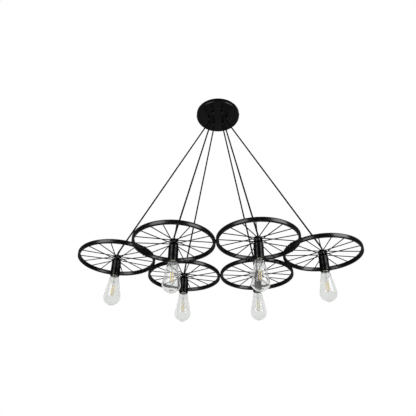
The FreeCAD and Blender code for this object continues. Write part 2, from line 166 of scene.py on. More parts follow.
# %% [markdown]
# ## The cords
# Each cord is a round flex with a woven black cover, 6.4 mm thick. It leaves its grip straight down,
# runs taut to its wheel and enters the top of the hub. The route is a smooth spline through a few
# control points. The cover of a real cord is a braid, and a braid follows the cord, so the tube is
# a mesh with its own map: u runs once round the cord, and v runs along it in the same scale.

# %% Read the spline and sweep a tube along it
def spline_line(points):
    """The points of an open NURBS spline that has these control points."""
    data = bpy.data.curves.new("route", "CURVE")
    data.dimensions = "3D"
    data.resolution_u = 48
    spline = data.splines.new("NURBS")
    spline.points.add(len(points) - 1)
    for spot, point in zip(spline.points, points):
        spot.co = (*point, 1)
    spline.order_u = 3
    spline.use_endpoint_u = True
    guide = bpy.data.objects.new("route", data)
    scene.collection.objects.link(guide)
    line = [v.co.copy() for v in bpy.data.meshes.new_from_object(guide).vertices]
    bpy.data.objects.remove(guide)
    return line


def tube(name, line, radius, sides=16):
    """A closed round tube along a line, with u round it and v along it."""
    corners, faces, maps = [], [], []
    along = [0.0]
    side = (line[1] - line[0]).orthogonal().normalized()
    for k, point in enumerate(line):
        ahead = (line[min(k + 1, len(line) - 1)] - line[max(k - 1, 0)]).normalized()
        side = (side - side.dot(ahead) * ahead).normalized()
        other = ahead.cross(side)
        for j in range(sides):
            turn = 2 * math.pi * j / sides
            corners.append(point + radius * (math.cos(turn) * side + math.sin(turn) * other))
        if k:
            along.append(along[-1] + (point - line[k - 1]).length / (2 * math.pi * radius))
    for k in range(len(line) - 1):
        for j in range(sides):
            here, there = k * sides, (k + 1) * sides
            faces.append((here + j, here + (j + 1) % sides, there + (j + 1) % sides, there + j))
            maps += [(j / sides, along[k]), ((j + 1) / sides, along[k])]
            maps += [((j + 1) / sides, along[k + 1]), (j / sides, along[k + 1])]
    for ring in (list(range(sides))[::-1], [(len(line) - 1) * sides + j for j in range(sides)]):
        faces.append(ring)
        maps += [(0.5, 0.5)] * sides
    mesh = bpy.data.meshes.new(name)
    mesh.from_pydata(corners, [], faces)
    layer = mesh.uv_layers.new(name="UVMap")
    layer.data.foreach_set("uv", [value for pair in maps for value in pair])
    mesh.shade_smooth()
    made = bpy.data.objects.new(name, mesh)
    scene.collection.objects.link(made)
    return made


# %% [markdown]
# The woven cover is polyester yarn on a braiding machine: two sets of strands wind round the cord
# in opposite ways and pass over and under each other. That gives the eye a fine diamond relief and
# a dull, slightly soft gloss. Two slanted waves on the cord's own map make the strands, and a
# checker of the two says which one lies on top. The strands are 1 mm wide, as on the real flex.
# The one black yarn is painted darker in the grooves between strands and paler on their crowns,
# a painted shade.

# %% Braided polyester
braid, tree, shader = finish_of("braided_polyester", {"Roughness": 0.7, "Specular IOR Level": 0.08})
STRANDS = 16
SLANT = 0.7
spot = add(tree, "ShaderNodeTexCoord").outputs["UV"]
split = add(tree, "ShaderNodeSeparateXYZ", inputs={0: spot})
slants = []
for way in (1, -1):
    turn = add(tree, "ShaderNodeMath", {"operation": "MULTIPLY"},
               {0: split.outputs["X"], 1: STRANDS / 2})
    slant = add(tree, "ShaderNodeMath", {"operation": "MULTIPLY_ADD"},
                {0: split.outputs["Y"], 1: way * STRANDS * SLANT, 2: turn.outputs[0]})
    slants.append(slant.outputs[0])
floors = [add(tree, "ShaderNodeMath", {"operation": "FLOOR"}, {0: slant}).outputs[0]
          for slant in slants]
total = add(tree, "ShaderNodeMath", inputs={0: floors[0], 1: floors[1]})
over = add(tree, "ShaderNodeMath", {"operation": "PINGPONG"}, {0: total.outputs[0], 1: 1.0})
rounds = [add(tree, "ShaderNodeMath", {"operation": "PINGPONG"}, {0: slant, 1: 0.5}).outputs[0]
          for slant in slants]
strand = add(tree, "ShaderNodeMix",
             inputs={"Factor": over.outputs[0], "A": rounds[0], "B": rounds[1]})
relief = add(tree, "ShaderNodeMapRange", inputs={"Value": strand.outputs[0], "From Max": 0.5})
bump = add(tree, "ShaderNodeBump",
           inputs={"Strength": 0.8, "Distance": 0.3 * MM, "Height": relief.outputs[0]})
# Painted shade: the yarn is coloured darker down in the grooves between strands, paler on crowns.
groove_painted_shade = add(tree, "ShaderNodeMix", {"data_type": "RGBA"},
            {"Factor": relief.outputs[0], 6: linear("030303"), 7: linear("0d0d0e")})
feed(shader, {"Base Color": groove_painted_shade.outputs[2], "Normal": bump.outputs[0]})

# %% Lay the six cords
CORD_RADIUS = 3.2 * MM
CORD_INSIDE = 8 * MM  # how far it reaches into its grip and its hub
BEND = 6.8 * MM  # from the grip or the hub to the bend
BEND_EASE = 14.8 * MM  # how far along the cord the bend is felt
UP = Vector((0, 0, 1))

for name, mouth in mouths.items():
    bend_high = mouth - BEND * UP
    bend_low = middles[name] + (HUB_TOP + BEND) * UP
    way = (bend_low - bend_high).normalized()
    route = [mouth + CORD_INSIDE * UP, bend_high, bend_high + way * BEND_EASE,
             bend_low - way * BEND_EASE, bend_low, middles[name] + (HUB_TOP - CORD_INSIDE) * UP]
    line = spline_line(route)
    flex = tube("cord_" + name + "_braid", line, CORD_RADIUS)
    flex.data.materials.append(braid)
    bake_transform(flex)
    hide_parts("cord_" + name)

# %% [markdown]
# ## Black powder coat
# Rims, spokes, hubs and canopy are steel with a baked satin powder coat. The powder melts into a
# skin with a faint orange peel, about 1 mm from bump to bump, and a low, broad shine. A few paler
# grains stay in it. They are drawn coarser than the real ones, so that they show. The lacquer on
# the lampholders is built in the same way further down, so one function makes both.

# %% A satin powder coat
def black_coat(name, level, colours, shine, cloud, grain, specks, peel, relief):
    """A sprayed coat. Cloud changes its shine, grain its colour and peel its relief: each is a size
    in mm and a detail. Specks are the grain's limits, relief is the peel's strength and depth."""
    made, tree, shader = finish_of(name, {"Specular IOR Level": level})
    spot = add(tree, "ShaderNodeTexCoord").outputs["Object"]
    clouds, grains, skin = [
        add(tree, "ShaderNodeTexNoise",
            inputs={"Vector": spot, "Scale": 1000 / size, "Detail": detail})
        for size, detail in (cloud, grain, peel)]
    rough = add(tree, "ShaderNodeMapRange", inputs={
        "Value": clouds.outputs[0], "From Min": 0.3, "From Max": 0.7,
        "To Min": shine[0], "To Max": shine[1]})
    speck = add(tree, "ShaderNodeMapRange",
                inputs={"Value": grains.outputs[0], "From Min": specks[0], "From Max": specks[1]})
    colour = add(tree, "ShaderNodeMix", {"data_type": "RGBA"},
                 {"Factor": speck.outputs[0], 6: linear(colours[0]), 7: linear(colours[1])})
    bump = add(tree, "ShaderNodeBump",
               inputs={"Strength": relief[0], "Distance": relief[1] * MM, "Height": skin.outputs[0]})
    feed(shader, {"Base Color": colour.outputs[2], "Roughness": rough.outputs[0],
                  "Normal": bump.outputs[0]})
    return made


coat = black_coat("satin_powder_coat", 0.5, ("030304", "0b0b0d"), (0.18, 0.29), cloud=(45, 4.0),
                  grain=(0.6, 1.0), specks=(0.62, 0.75), peel=(1.1, 3.0), relief=(0.5, 0.04))

# %% [markdown]
# ## Rounded outlines, turned on a lathe
# Hubs, lampholders, grips, caps and glass are all turned or blown round an upright axis. So each is
# an outline of radius and height, with its corners rounded as a tool or a press would leave them,
# spun round that axis. Spinning in code keeps the seam and the poles closed.

# %% Round an outline and spin it
def rounded(corners, steps=4):
    """A closed outline of (radius, height, rounding) corners with each corner rounded."""
    points = []
    for k, (x, z, rounding) in enumerate(corners):
        here = Vector((x, z))
        back = Vector(corners[k - 1][:2]) - here
        ahead = Vector(corners[(k + 1) % len(corners)][:2]) - here
        if not rounding:
            points.append(here)
            continue
        half = back.angle(ahead) / 2
        trim = min(rounding / math.tan(half), back.length * 0.49, ahead.length * 0.49)
        enter, leave = here + back.normalized() * trim, here + ahead.normalized() * trim
        for j in range(steps + 1):
            t = j / steps
            points.append(enter * (1 - t) ** 2 + here * (2 * t * (1 - t)) + leave * t ** 2)
    return points


def lathe(name, outline, steps=48):
    """A closed mesh from an outline of radius and height in millimetres, spun round upright."""
    corners, rings, faces = [], [], []
    for point in outline:
        if point[0] < 0.001:
            rings.append([len(corners)] * steps)
            corners.append((0, 0, point[1] * MM))
            continue
        rings.append(list(range(len(corners), len(corners) + steps)))
        for j in range(steps):
            turn = 2 * math.pi * j / steps
            corners.append((point[0] * MM * math.cos(turn), point[0] * MM * math.sin(turn),
                            point[1] * MM))
    for k in range(len(rings)):
        here, there = rings[k], rings[(k + 1) % len(rings)]
        for j in range(steps):
            face = [here[j], here[(j + 1) % steps], there[(j + 1) % steps], there[j]]
            face = list(dict.fromkeys(face))
            if len(face) > 2:
                faces.append(face)
    mesh = bpy.data.meshes.new(name)
    mesh.from_pydata(corners, [], faces)
    return outward(mesh)


def outward(mesh):
    """Merges doubles, turns every face outwards and smooths all but the sharp edges."""
    work = bmesh.new()
    work.from_mesh(mesh)
    bmesh.ops.remove_doubles(work, verts=work.verts, dist=0.001 * MM)
    bmesh.ops.recalc_face_normals(work, faces=work.faces)
    work.to_mesh(mesh)
    work.free()
    mesh.shade_smooth()
    mesh.set_sharp_from_angle(angle=math.radians(40))
    return mesh


def place(mesh, name, spot, finish):
    """A copy of a mesh moved to a place, as a new object at the origin."""
    copy = mesh.copy()
    copy.name = name
    copy.transform(Matrix.Translation(spot))
    copy.materials.clear()
    copy.materials.append(finish)
    made = bpy.data.objects.new(name, copy)
    scene.collection.objects.link(made)
    return made


# %% [markdown]
# ## Geometry trees
# What repeats or follows a rule is grown by Geometry Nodes: the hoops, the weld beads, the threads
# and the light sticks. One helper makes a tree with named inputs. Another runs it once, with its
# inputs set by their identifiers, and keeps the plain mesh. Weld beads, holes and sticks all stand
# in a ring, so two more helpers add the nodes for that.

# %% Make a tree and run it
def new_tree(name, sockets):
    """A geometry tree with named inputs. Gives the tree and the outputs of its input node."""
    made = bpy.data.node_groups.new(name, "GeometryNodeTree")
    made.interface.new_socket("Geometry", in_out="OUTPUT", socket_type="NodeSocketGeometry")
    for label, kind in sockets.items():
        made.interface.new_socket(label, in_out="INPUT", socket_type="NodeSocket" + kind)
    return made, add(made, "NodeGroupInput").outputs


def end_tree(tree, parts, finish):
    """Joins the parts, realises them, gives them their finish and sends them out."""
    joined = add(tree, "GeometryNodeJoinGeometry")
    for part in reversed(parts):
        tree.links.new(part, joined.inputs[0])
    real = add(tree, "GeometryNodeRealizeInstances", inputs={0: joined.outputs[0]})
    coated = add(tree, "GeometryNodeSetMaterial",
                 inputs={"Geometry": real.outputs[0], "Material": finish})
    add(tree, "NodeGroupOutput", inputs={0: coated.outputs[0]})


def grow(name, tree, values, base=None):
    """Runs a tree once and gives its result as a plain mesh."""
    holder = bpy.data.objects.new(name, base or bpy.data.meshes.new(name))
    scene.collection.objects.link(holder)
    modifier = holder.modifiers.new(name, "NODES")
    modifier.node_group = tree
    for socket in tree.interface.items_tree:
        if socket.in_out == "INPUT" and socket.name in values:
            modifier[socket.identifier] = values[socket.name]
    graph = bpy.context.evaluated_depsgraph_get()
    mesh = bpy.data.meshes.new_from_object(holder.evaluated_get(graph))
    bpy.data.objects.remove(holder)
    return outward(mesh)


# %% Points in a ring
def ring_ways(tree, count, first):
    """For each point of a ring: its angle and the way outwards."""
    index = add(tree, "GeometryNodeInputIndex").outputs[0]
    share = add(tree, "ShaderNodeMath", {"operation": "DIVIDE"}, {0: index, 1: count})
    angle = add(tree, "ShaderNodeMath", {"operation": "MULTIPLY_ADD"},
                {0: share.outputs[0], 1: 2 * math.pi, 2: first}).outputs[0]
    way = add(tree, "ShaderNodeCombineXYZ", inputs={
        0: add(tree, "ShaderNodeMath", {"operation": "COSINE"}, {0: angle}).outputs[0],
        1: add(tree, "ShaderNodeMath", {"operation": "SINE"}, {0: angle}).outputs[0]})
    return angle, way.outputs[0]


def ring_points(tree, count, first, radius, level):
    """The points of a ring at a level, and the angle of each."""
    angle, way = ring_ways(tree, count, first)
    rise = add(tree, "ShaderNodeCombineXYZ", inputs={2: level})
    spot = add(tree, "ShaderNodeVectorMath", {"operation": "MULTIPLY_ADD"},
               {0: way, 1: radius, 2: rise.outputs[0]})
    points = add(tree, "GeometryNodePoints", inputs={"Count": count, "Position": spot.outputs[0]})
    return points.outputs[0], angle


# %% [markdown]
# ## The rims
# A rim is a rolled steel bar, 9.5 by 16 mm, bent to a hoop and welded shut. The inner rims also
# have flat pads where they touch. A rectangle with rounded corners follows a circle, which is what
# the rolling does, and the pads are short bars that stand on it a quarter turn apart.

# %% Build the rim tree
rim_tree, given = new_tree("rolled_rim", {
    "Middle Radius": "Float", "Thickness": "Float", "Height": "Float", "Rounding": "Float",
    "Pads": "Int", "First Pad": "Float", "Pad Width": "Float", "Pad Height": "Float",
    "Pad Reach": "Float", "Finish": "Material"})
circle = add(rim_tree, "GeometryNodeCurvePrimitiveCircle",
             inputs={"Resolution": 160, "Radius": given["Middle Radius"]})
upright = add(rim_tree, "GeometryNodeSetCurveNormal", {"mode": "Z_UP"}, {0: circle.outputs[0]})
section = add(rim_tree, "GeometryNodeCurvePrimitiveQuadrilateral",
              inputs={"Width": given["Thickness"], "Height": given["Height"]})
soft = add(rim_tree, "GeometryNodeFilletCurve", {"mode": "POLY"},
           {"Curve": section.outputs[0], "Count": 4, "Radius": given["Rounding"]})
hoop = add(rim_tree, "GeometryNodeCurveToMesh",
           inputs={"Curve": upright.outputs[0], "Profile Curve": soft.outputs[0]})
foot = add(rim_tree, "ShaderNodeCombineXYZ", inputs={0: given["Middle Radius"]})
tip = add(rim_tree, "ShaderNodeCombineXYZ", inputs={0: given["Pad Reach"]})
stub = add(rim_tree, "GeometryNodeCurvePrimitiveLine",
           inputs={"Start": foot.outputs[0], "End": tip.outputs[0]})
square = add(rim_tree, "GeometryNodeCurvePrimitiveQuadrilateral",
             inputs={"Width": given["Pad Height"], "Height": given["Pad Width"]})
pad = add(rim_tree, "GeometryNodeCurveToMesh",
          inputs={"Curve": stub.outputs[0], "Profile Curve": square.outputs[0], "Fill Caps": True})
spots = add(rim_tree, "GeometryNodePoints", inputs={"Count": given["Pads"]})
index = add(rim_tree, "GeometryNodeInputIndex")
quarter = add(rim_tree, "ShaderNodeMath", {"operation": "MULTIPLY_ADD"},
              {0: index.outputs[0], 1: math.pi / 2, 2: given["First Pad"]})
spin = add(rim_tree, "ShaderNodeCombineXYZ", inputs={2: quarter.outputs[0]})
pads = add(rim_tree, "GeometryNodeInstanceOnPoints", inputs={
    "Points": spots.outputs[0], "Instance": pad.outputs[0], "Rotation": spin.outputs[0]})
end_tree(rim_tree, [hoop.outputs[0], pads.outputs[0]], given["Finish"])

# %% Roll the six rims
FIRST_PADS = {"near_left": 0, "far_left": 270, "far_right": 180, "near_right": 90}
for name, middle in middles.items():
    mesh = grow("rim", rim_tree, {
        "Middle Radius": 145.25 * MM, "Thickness": 9.5 * MM, "Height": 16 * MM, "Rounding": 2.2 * MM,
        "Pads": 2 if name in FIRST_PADS else 0, "First Pad": math.radians(FIRST_PADS.get(name, 0)),
        "Pad Width": 11 * MM, "Pad Height": 10 * MM, "Pad Reach": 150.5 * MM, "Finish": coat})
    rim = place(mesh, "rim_" + name + "_hoop", middle, coat)
    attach(rim, "wheels")
    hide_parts("rim_" + name)
print("rim faces", len(rim.data.polygons))
print("rim size in mm", [round(v / MM, 1) for v in rim.dimensions])

# %% [markdown]
# ## The spokes and their welds
# The spokes are straight wire, 3.6 mm thick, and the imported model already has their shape, so they
# only get the coat. Where a wire meets the hub or the rim, a real wheel has a small weld bead that
# the coat has run over. One cone at each end of each spoke makes it, so a tree grows all 36.

# %% Build the weld tree
weld_tree, given = new_tree("weld_beads", {
    "Spokes": "Int", "First": "Float", "Hub Radius": "Float", "Rim Radius": "Float",
    "Upper": "Float", "Lower": "Float", "Wire Radius": "Float", "Foot": "Float",
    "Finish": "Material"})
across = ring_ways(weld_tree, given["Spokes"], given["First"])[1]
index = add(weld_tree, "GeometryNodeInputIndex")
even = add(weld_tree, "ShaderNodeMath", {"operation": "PINGPONG"}, {0: index.outputs[0], 1: 1.0})
level = add(weld_tree, "ShaderNodeMix",
            inputs={"Factor": even.outputs[0], "A": given["Upper"], "B": given["Lower"]})
rise = add(weld_tree, "ShaderNodeCombineXYZ", inputs={2: level.outputs[0]}).outputs[0]
hub_end = add(weld_tree, "ShaderNodeVectorMath", {"operation": "MULTIPLY_ADD"},
              {0: across, 1: given["Hub Radius"], 2: rise}).outputs[0]
rim_end = add(weld_tree, "ShaderNodeVectorMath", {"operation": "SCALE"},
              {0: across, "Scale": given["Rim Radius"]}).outputs[0]
bead = add(weld_tree, "GeometryNodeMeshCone", inputs={
    "Vertices": 14, "Side Segments": 1, "Radius Top": given["Wire Radius"],
    "Radius Bottom": given["Foot"], "Depth": given["Foot"]})
beads = []
for here, there in ((hub_end, rim_end), (rim_end, hub_end)):
    ahead = add(weld_tree, "ShaderNodeVectorMath", {"operation": "SUBTRACT"}, {0: there, 1: here})
    lean = add(weld_tree, "FunctionNodeAlignRotationToVector", {"axis": "Z"},
               {"Vector": ahead.outputs[0]})
    spots = add(weld_tree, "GeometryNodePoints", inputs={"Count": given["Spokes"], "Position": here})
    ring = add(weld_tree, "GeometryNodeInstanceOnPoints", inputs={
        "Points": spots.outputs[0], "Instance": bead.outputs[0], "Rotation": lean.outputs[0]})
    beads.append(ring.outputs[0])
end_tree(weld_tree, beads, given["Finish"])

# %% Weld the spokes
FIRST_SPOKES = {
    "left": 15, "near_left": 2.6, "far_left": 5.5, "far_right": 2.6, "near_right": 5.5,
    "right": -4.5}
for name, middle in middles.items():
    refinish("spokes_" + name, coat)
    mesh = grow("welds", weld_tree, {
        "Spokes": 18, "First": math.radians(FIRST_SPOKES[name]), "Hub Radius": 14.9 * MM,
        "Rim Radius": 140.6 * MM, "Upper": 9 * MM, "Lower": -5 * MM, "Wire Radius": 1.82 * MM,
        "Foot": 2.5 * MM, "Finish": coat})
    welds = place(mesh, "welds_" + name, middle, coat)
    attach(welds, "wheels")
print("weld faces on a wheel", len(welds.data.polygons))

# %% [markdown]
# ## Hubs
# A hub is a turned steel spool with two flanges, one for each row of spokes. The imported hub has
# sharp edges. This one has the same outline with its corners broken, so that they catch the light.

# %% Turn the hubs
HUB = [(4, -9.1, 0), (11, -9.1, 0.6), (11, -7, 0.5), (15, -7, 0.8), (15, -3, 0.8), (9, -3, 1.2),
       (9, 7, 1.2), (15, 7, 0.8), (15, 11, 0.8), (8, 11, 0.8), (8, 13.4, 1), (6, 15.4, 1),
       (3.4, 15.4, 0.5), (3.4, 8, 0), (4, 8, 0)]
spool = lathe("hub", rounded(HUB))
for name, middle in middles.items():
    hub = place(spool, "hub_" + name + "_spool", middle, coat)
    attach(hub, "wheels")
    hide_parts("hub_" + name)
print("hub faces", len(spool.polygons))

# %% [markdown]
# ## Lampholders
# The lampholder is a drawn metal sleeve, 36 mm across, sprayed with a smooth satin lacquer. It
# shines more than the powder coat, so a softbox at each side draws a long grey streak down it.
# Its top screws on, which leaves a fine joint line all round below the shoulder.

# %% A satin lacquer
lacquer = black_coat("satin_black_lacquer", 0.25, ("040405", "0e0e10"), (0.2, 0.28), cloud=(12, 5.0),
                     grain=(0.5, 0.0), specks=(0.68, 0.8), peel=(2.5, 2.0), relief=(0.3, 0.03))

# %% Draw the sleeves
HOLDER = [(1.5, 7.4, 0), (5, 7.4, 0.3), (5, -9.2, 0.3), (13, -9.2, 1.5), (18, -14.2, 3),
          (18, -25.4, 0.2), (17.6, -25.7, 0), (17.6, -26.1, 0), (18, -26.4, 0.2), (18, -72.4, 0.5),
          (16.8, -72.4, 0.5), (16.8, -17.2, 1), (12, -12.2, 1), (1.5, -12.2, 0)]
sleeve = lathe("holder", rounded(HOLDER), 64)
for name, middle in middles.items():
    holder = place(sleeve, "holder_" + name + "_sleeve", middle, lacquer)
    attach(holder, "wheels")
    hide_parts("holder_" + name)
print("holder faces", len(sleeve.polygons))

# %% [markdown]
# ## The canopy
# The canopy is spun or pressed from steel sheet 1.5 mm thick, with a raised round middle. A press
# can't make a sharp corner, so every corner here is a soft one. Six holes take the cord grips. They
# are drilled by a tree: a ring of round cutters is taken away from the dish.

# %% Press the dish and drill it
hole_tree, given = new_tree("ring_of_holes", {
    "Dish": "Geometry", "Holes": "Int", "Ring Radius": "Float", "Hole Radius": "Float",
    "Hole Depth": "Float", "Level": "Float", "Finish": "Material"})
spots = ring_points(hole_tree, given["Holes"], 0.0, given["Ring Radius"], given["Level"])[0]
cutter = add(hole_tree, "GeometryNodeMeshCylinder",
             inputs={"Vertices": 48, "Radius": given["Hole Radius"], "Depth": given["Hole Depth"]})
ring = add(hole_tree, "GeometryNodeInstanceOnPoints",
           inputs={"Points": spots, "Instance": cutter.outputs[0]})
drilled = add(hole_tree, "GeometryNodeMeshBoolean", {"operation": "DIFFERENCE", "solver": "EXACT"},
              {"Mesh 1": given["Dish"], "Mesh 2": ring.outputs[0]})
end_tree(hole_tree, [drilled.outputs[0]], given["Finish"])

CANOPY_RADIUS = 101.5
DISH = [(CANOPY_RADIUS, 0, 0.6), (CANOPY_RADIUS, -22, 7), (68, -22, 4), (60, -27, 4), (0, -27, 0),
        (0, -25.5, 0), (59.5, -25.5, 3), (67.5, -20.5, 3), (100, -20.5, 5.5), (100, 0, 0.6)]
dish = lathe("dish", rounded(DISH, 8), 144)
mesh = grow("dish_drilled", hole_tree, {
    "Holes": 6, "Ring Radius": GRIP_RING, "Hole Radius": 5.1 * MM, "Hole Depth": 8 * MM,
    "Level": -26.2 * MM, "Finish": coat}, dish)
canopy = place(mesh, "canopy_dish", (0, 0, 0), coat)
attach(canopy, "canopy")
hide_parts("canopy")
print("canopy faces", len(canopy.data.polygons))

# %% [markdown]
# ## Cord grips
# Each cord leaves the canopy through a nylon strain relief, pressed in from below. The body has
# rings cut into it, so that it bends with the cord and doesn't kink it. Moulded nylon is a dull
# black with a slightly waxy shine.

# %% Black nylon and the six grips
nylon, tree, shader = finish_of("moulded_nylon", {"Roughness": 0.48, "Specular IOR Level": 0.4})
spot = add(tree, "ShaderNodeTexCoord").outputs["Object"]
skin = add(tree, "ShaderNodeTexNoise", inputs={"Vector": spot, "Scale": 1000 / 0.8, "Detail": 2.0})
cloud = add(tree, "ShaderNodeTexNoise", inputs={"Vector": spot, "Scale": 1000 / 6, "Detail": 2.0})
colour = add(tree, "ShaderNodeMix", {"data_type": "RGBA"},
             {"Factor": cloud.outputs[0], 6: linear("0a0a0a"), 7: linear("141414")})
bump = add(tree, "ShaderNodeBump",
           inputs={"Strength": 0.4, "Distance": 0.04 * MM, "Height": skin.outputs[0]})
feed(shader, {"Base Color": colour.outputs[2], "Normal": bump.outputs[0]})

GRIP = [(3.35, 0, 0.2), (4.7, 0, 0.6)]
for k in range(5):
    low, wide = 1.6 + 2 * k, 4.83 + 0.2 * k
    GRIP += [(wide, low, 0.2), (wide - 0.6, low + 0.1, 0.2), (wide - 0.6, low + 0.9, 0.2),
             (wide + 0.1, low + 1, 0.2)]
GRIP += [(5.9, 12, 0.2), (6.5, 12, 0.6), (6.5, 15, 0.4), (5, 15, 0), (5, 16.5, 0), (5.8, 16.5, 0.2),
         (4.3, 20.5, 0.3), (0, 20.5, 0), (0, 8, 0), (3.35, 8, 0)]
grip = lathe("grip", rounded(GRIP, 3), 40)
for name, mouth in mouths.items():
    made = place(grip, "grip_" + name, mouth, nylon)
    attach(made, "canopy")
    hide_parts("cord_grips")
print("grip faces", len(grip.polygons))

# %% [markdown]
# ## Clear glass
# The bulbs are blown from clear soda-lime glass, 0.9 mm thick at most. A bulb is a closed shell with
# an outer and an inner skin, so light bends a little at its neck and belly. The glass carries a very
# faint grey, which two walls turn into the pale tone that a bulb has in front of a white wall. Lamp
# light hardly bends in so thin a wall, so for shadow rays the glass counts as a faint grey filter.
# Without that the sticks inside would stand in the dark.

# %% Glass
def blown_glass(name, code, other):
    """Clear glass between two faint tints, which lets lamp light through unbent."""
    made, tree, shader = finish_of(name, {"Transmission Weight": 1.0, "Roughness": 0.0})
    spot = add(tree, "ShaderNodeTexCoord").outputs["Object"]
    swirl = add(tree, "ShaderNodeTexNoise",
                inputs={"Vector": spot, "Scale": 1000 / 28, "Detail": 1.0})
    tint = add(tree, "ShaderNodeMix", {"data_type": "RGBA"},
               {"Factor": swirl.outputs[0], 6: linear(code), 7: linear(other)})
    once = add(tree, "ShaderNodeGamma", inputs={"Color": tint.outputs[2], "Gamma": 0.5})
    straight = add(tree, "ShaderNodeBsdfTransparent", inputs={"Color": once.outputs[0]})
    rays = add(tree, "ShaderNodeLightPath")
    both = add(tree, "ShaderNodeMixShader", inputs={
        0: rays.outputs["Is Shadow Ray"], 1: shader.outputs[0], 2: straight.outputs[0]})
    feed(shader, {"Base Color": tint.outputs[2]})
    feed(tree.nodes["Material Output"], {0: both.outputs[0]})
    return made


clear = blown_glass("clear_blown_glass", "eff0ef", "ecedec")
stem_glass = blown_glass("clear_drawn_glass", "fbfbfa", "f6f7f6")

# %% Blow the bulbs
BELLY = -84  # the level at which the bulb is widest, from its edge in the cap, in mm
NOSE = 5.4  # the height of its rounded tip
CAP_EDGE = 76 * MM  # from the middle of the rim down to the cap's edge


def bulb_outline(wall):
    """Radius and height of the bulb's skin from its root to its tip, moved inwards by a wall."""
    wide, nose, tip = 32 - wall, 13 - wall / 2, -115.4 + wall
    points = rounded([(0, 2.4, 0), (12.2 - wall, 2.4, 0), (12.2 - wall, -wall, 1),
                      (17.2 - wall, -7, 7), (20.8 - wall, -20, 30), (wide, BELLY, 0)])[1:-1]
    down = BELLY - tip - NOSE
    belly = ((wide - nose) ** 2 + down ** 2) / (wide - nose) / 2
    end = (nose ** 2 + NOSE ** 2) / NOSE / 2
    for k in range(17):
        turn = math.asin(down / belly) * k / 16
        points.append(Vector((wide - belly * (1 - math.cos(turn)), BELLY - belly * math.sin(turn))))
    for k in range(1, 9):
        turn = math.asin(nose / end) * (1 - k / 8)
        points.append(Vector((end * math.sin(turn), tip + end * (1 - math.cos(turn)))))
    return points


shell = lathe("bulb", bulb_outline(0) + bulb_outline(0.9)[::-1], 160)
cap_edges = {name: middle - CAP_EDGE * UP for name, middle in middles.items()}
for name, edge in cap_edges.items():
    glass = place(shell, "bulb_" + name + "_shell", edge, clear)
    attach(glass, "bulb_" + name)
    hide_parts("bulb_" + name + "_glass")
print("glass faces", len(shell.polygons))
print("glass size in mm", [round(v / MM, 1) for v in glass.dimensions])

# %% [markdown]
# ## Screw caps
# The cap is a thin nickel-plated brass skirt with a rolled E27 thread: 3.62 mm from crest to crest
# and 1 mm deep. Rolling pushes both faces of the sheet in, and the tree does the same. It moves each
# point of a plain skirt inwards by a wave that climbs one pitch a turn and fades out at the ends.

# %% Build the thread tree
thread_tree, given = new_tree("rolled_thread", {
    "Blank": "Geometry", "Pitch": "Float", "Depth": "Float", "Core Radius": "Float",
    "Start": "Float", "End": "Float", "Fade": "Float", "Finish": "Material"})
here = add(thread_tree, "GeometryNodeInputPosition")
split = add(thread_tree, "ShaderNodeSeparateXYZ", inputs={0: here.outputs[0]})
flat = add(thread_tree, "ShaderNodeCombineXYZ", inputs={0: split.outputs[0], 1: split.outputs[1]})
reach = add(thread_tree, "ShaderNodeVectorMath", {"operation": "LENGTH"}, {0: flat.outputs[0]})
turn = add(thread_tree, "ShaderNodeMath", {"operation": "ARCTAN2"},
           {0: split.outputs[1], 1: split.outputs[0]})
climb = add(thread_tree, "ShaderNodeMath", {"operation": "DIVIDE"},
            {0: split.outputs[2], 1: given["Pitch"]})
phase = add(thread_tree, "ShaderNodeMath", {"operation": "MULTIPLY_ADD"},
            {0: climb.outputs[0], 1: 2 * math.pi, 2: turn.outputs[0]})
wave = add(thread_tree, "ShaderNodeMath", {"operation": "COSINE"}, {0: phase.outputs[0]})
dent = add(thread_tree, "ShaderNodeMapRange",
           inputs={"Value": wave.outputs[0], "From Min": -1.0, "From Max": 1.0})
rise = add(thread_tree, "ShaderNodeMath", {"operation": "SUBTRACT"},
           {0: split.outputs[2], 1: given["Start"]})
fall = add(thread_tree, "ShaderNodeMath", {"operation": "SUBTRACT"},
           {0: given["End"], 1: split.outputs[2]})
nearer = add(thread_tree, "ShaderNodeMath", {"operation": "MINIMUM"},
             {0: rise.outputs[0], 1: fall.outputs[0]})
fade = add(thread_tree, "ShaderNodeMapRange",
           inputs={"Value": nearer.outputs[0], "From Max": given["Fade"]})
outer = add(thread_tree, "ShaderNodeMath", {"operation": "GREATER_THAN"},
            {0: reach.outputs[1], 1: given["Core Radius"]})
amount = outer.outputs[0]
for factor in (dent.outputs[0], fade.outputs[0], given["Depth"]):
    amount = add(thread_tree, "ShaderNodeMath", {"operation": "MULTIPLY"},
                 {0: amount, 1: factor}).outputs[0]
way = add(thread_tree, "ShaderNodeVectorMath", {"operation": "NORMALIZE"}, {0: flat.outputs[0]})
back = add(thread_tree, "ShaderNodeMath", {"operation": "MULTIPLY"}, {0: amount, 1: -1.0})
shift = add(thread_tree, "ShaderNodeVectorMath", {"operation": "SCALE"},
            {0: way.outputs[0], "Scale": back.outputs[0]})
rolled = add(thread_tree, "GeometryNodeSetPosition",
             inputs={"Geometry": given["Blank"], "Offset": shift.outputs[0]})
end_tree(thread_tree, [rolled.outputs[0]], given["Finish"])

# %% Nickel-plated brass and the caps
def stained_metal(name, size, shine, colours):
    """Bare metal whose stains, of a size in mm, change its roughness and its colour."""
    made, tree, shader = finish_of(name, {"Metallic": 1.0})
    spot = add(tree, "ShaderNodeTexCoord").outputs["Object"]
    stain = add(tree, "ShaderNodeTexNoise",
                inputs={"Vector": spot, "Scale": 1000 / size, "Detail": 4.0}).outputs[0]
    rough = add(tree, "ShaderNodeMapRange", inputs={
        "Value": stain, "From Min": 0.3, "From Max": 0.7,
        "To Min": shine[0], "To Max": shine[1]})
    colour = add(tree, "ShaderNodeMix", {"data_type": "RGBA"},
                 {"Factor": stain, 6: linear(colours[0]), 7: linear(colours[1])})
    feed(shader, {"Base Color": colour.outputs[2], "Roughness": rough.outputs[0]})
    return made


nickel = stained_metal("nickel_plated_brass", 7, (0.34, 0.5), ("a2a395", "b9b8a8"))

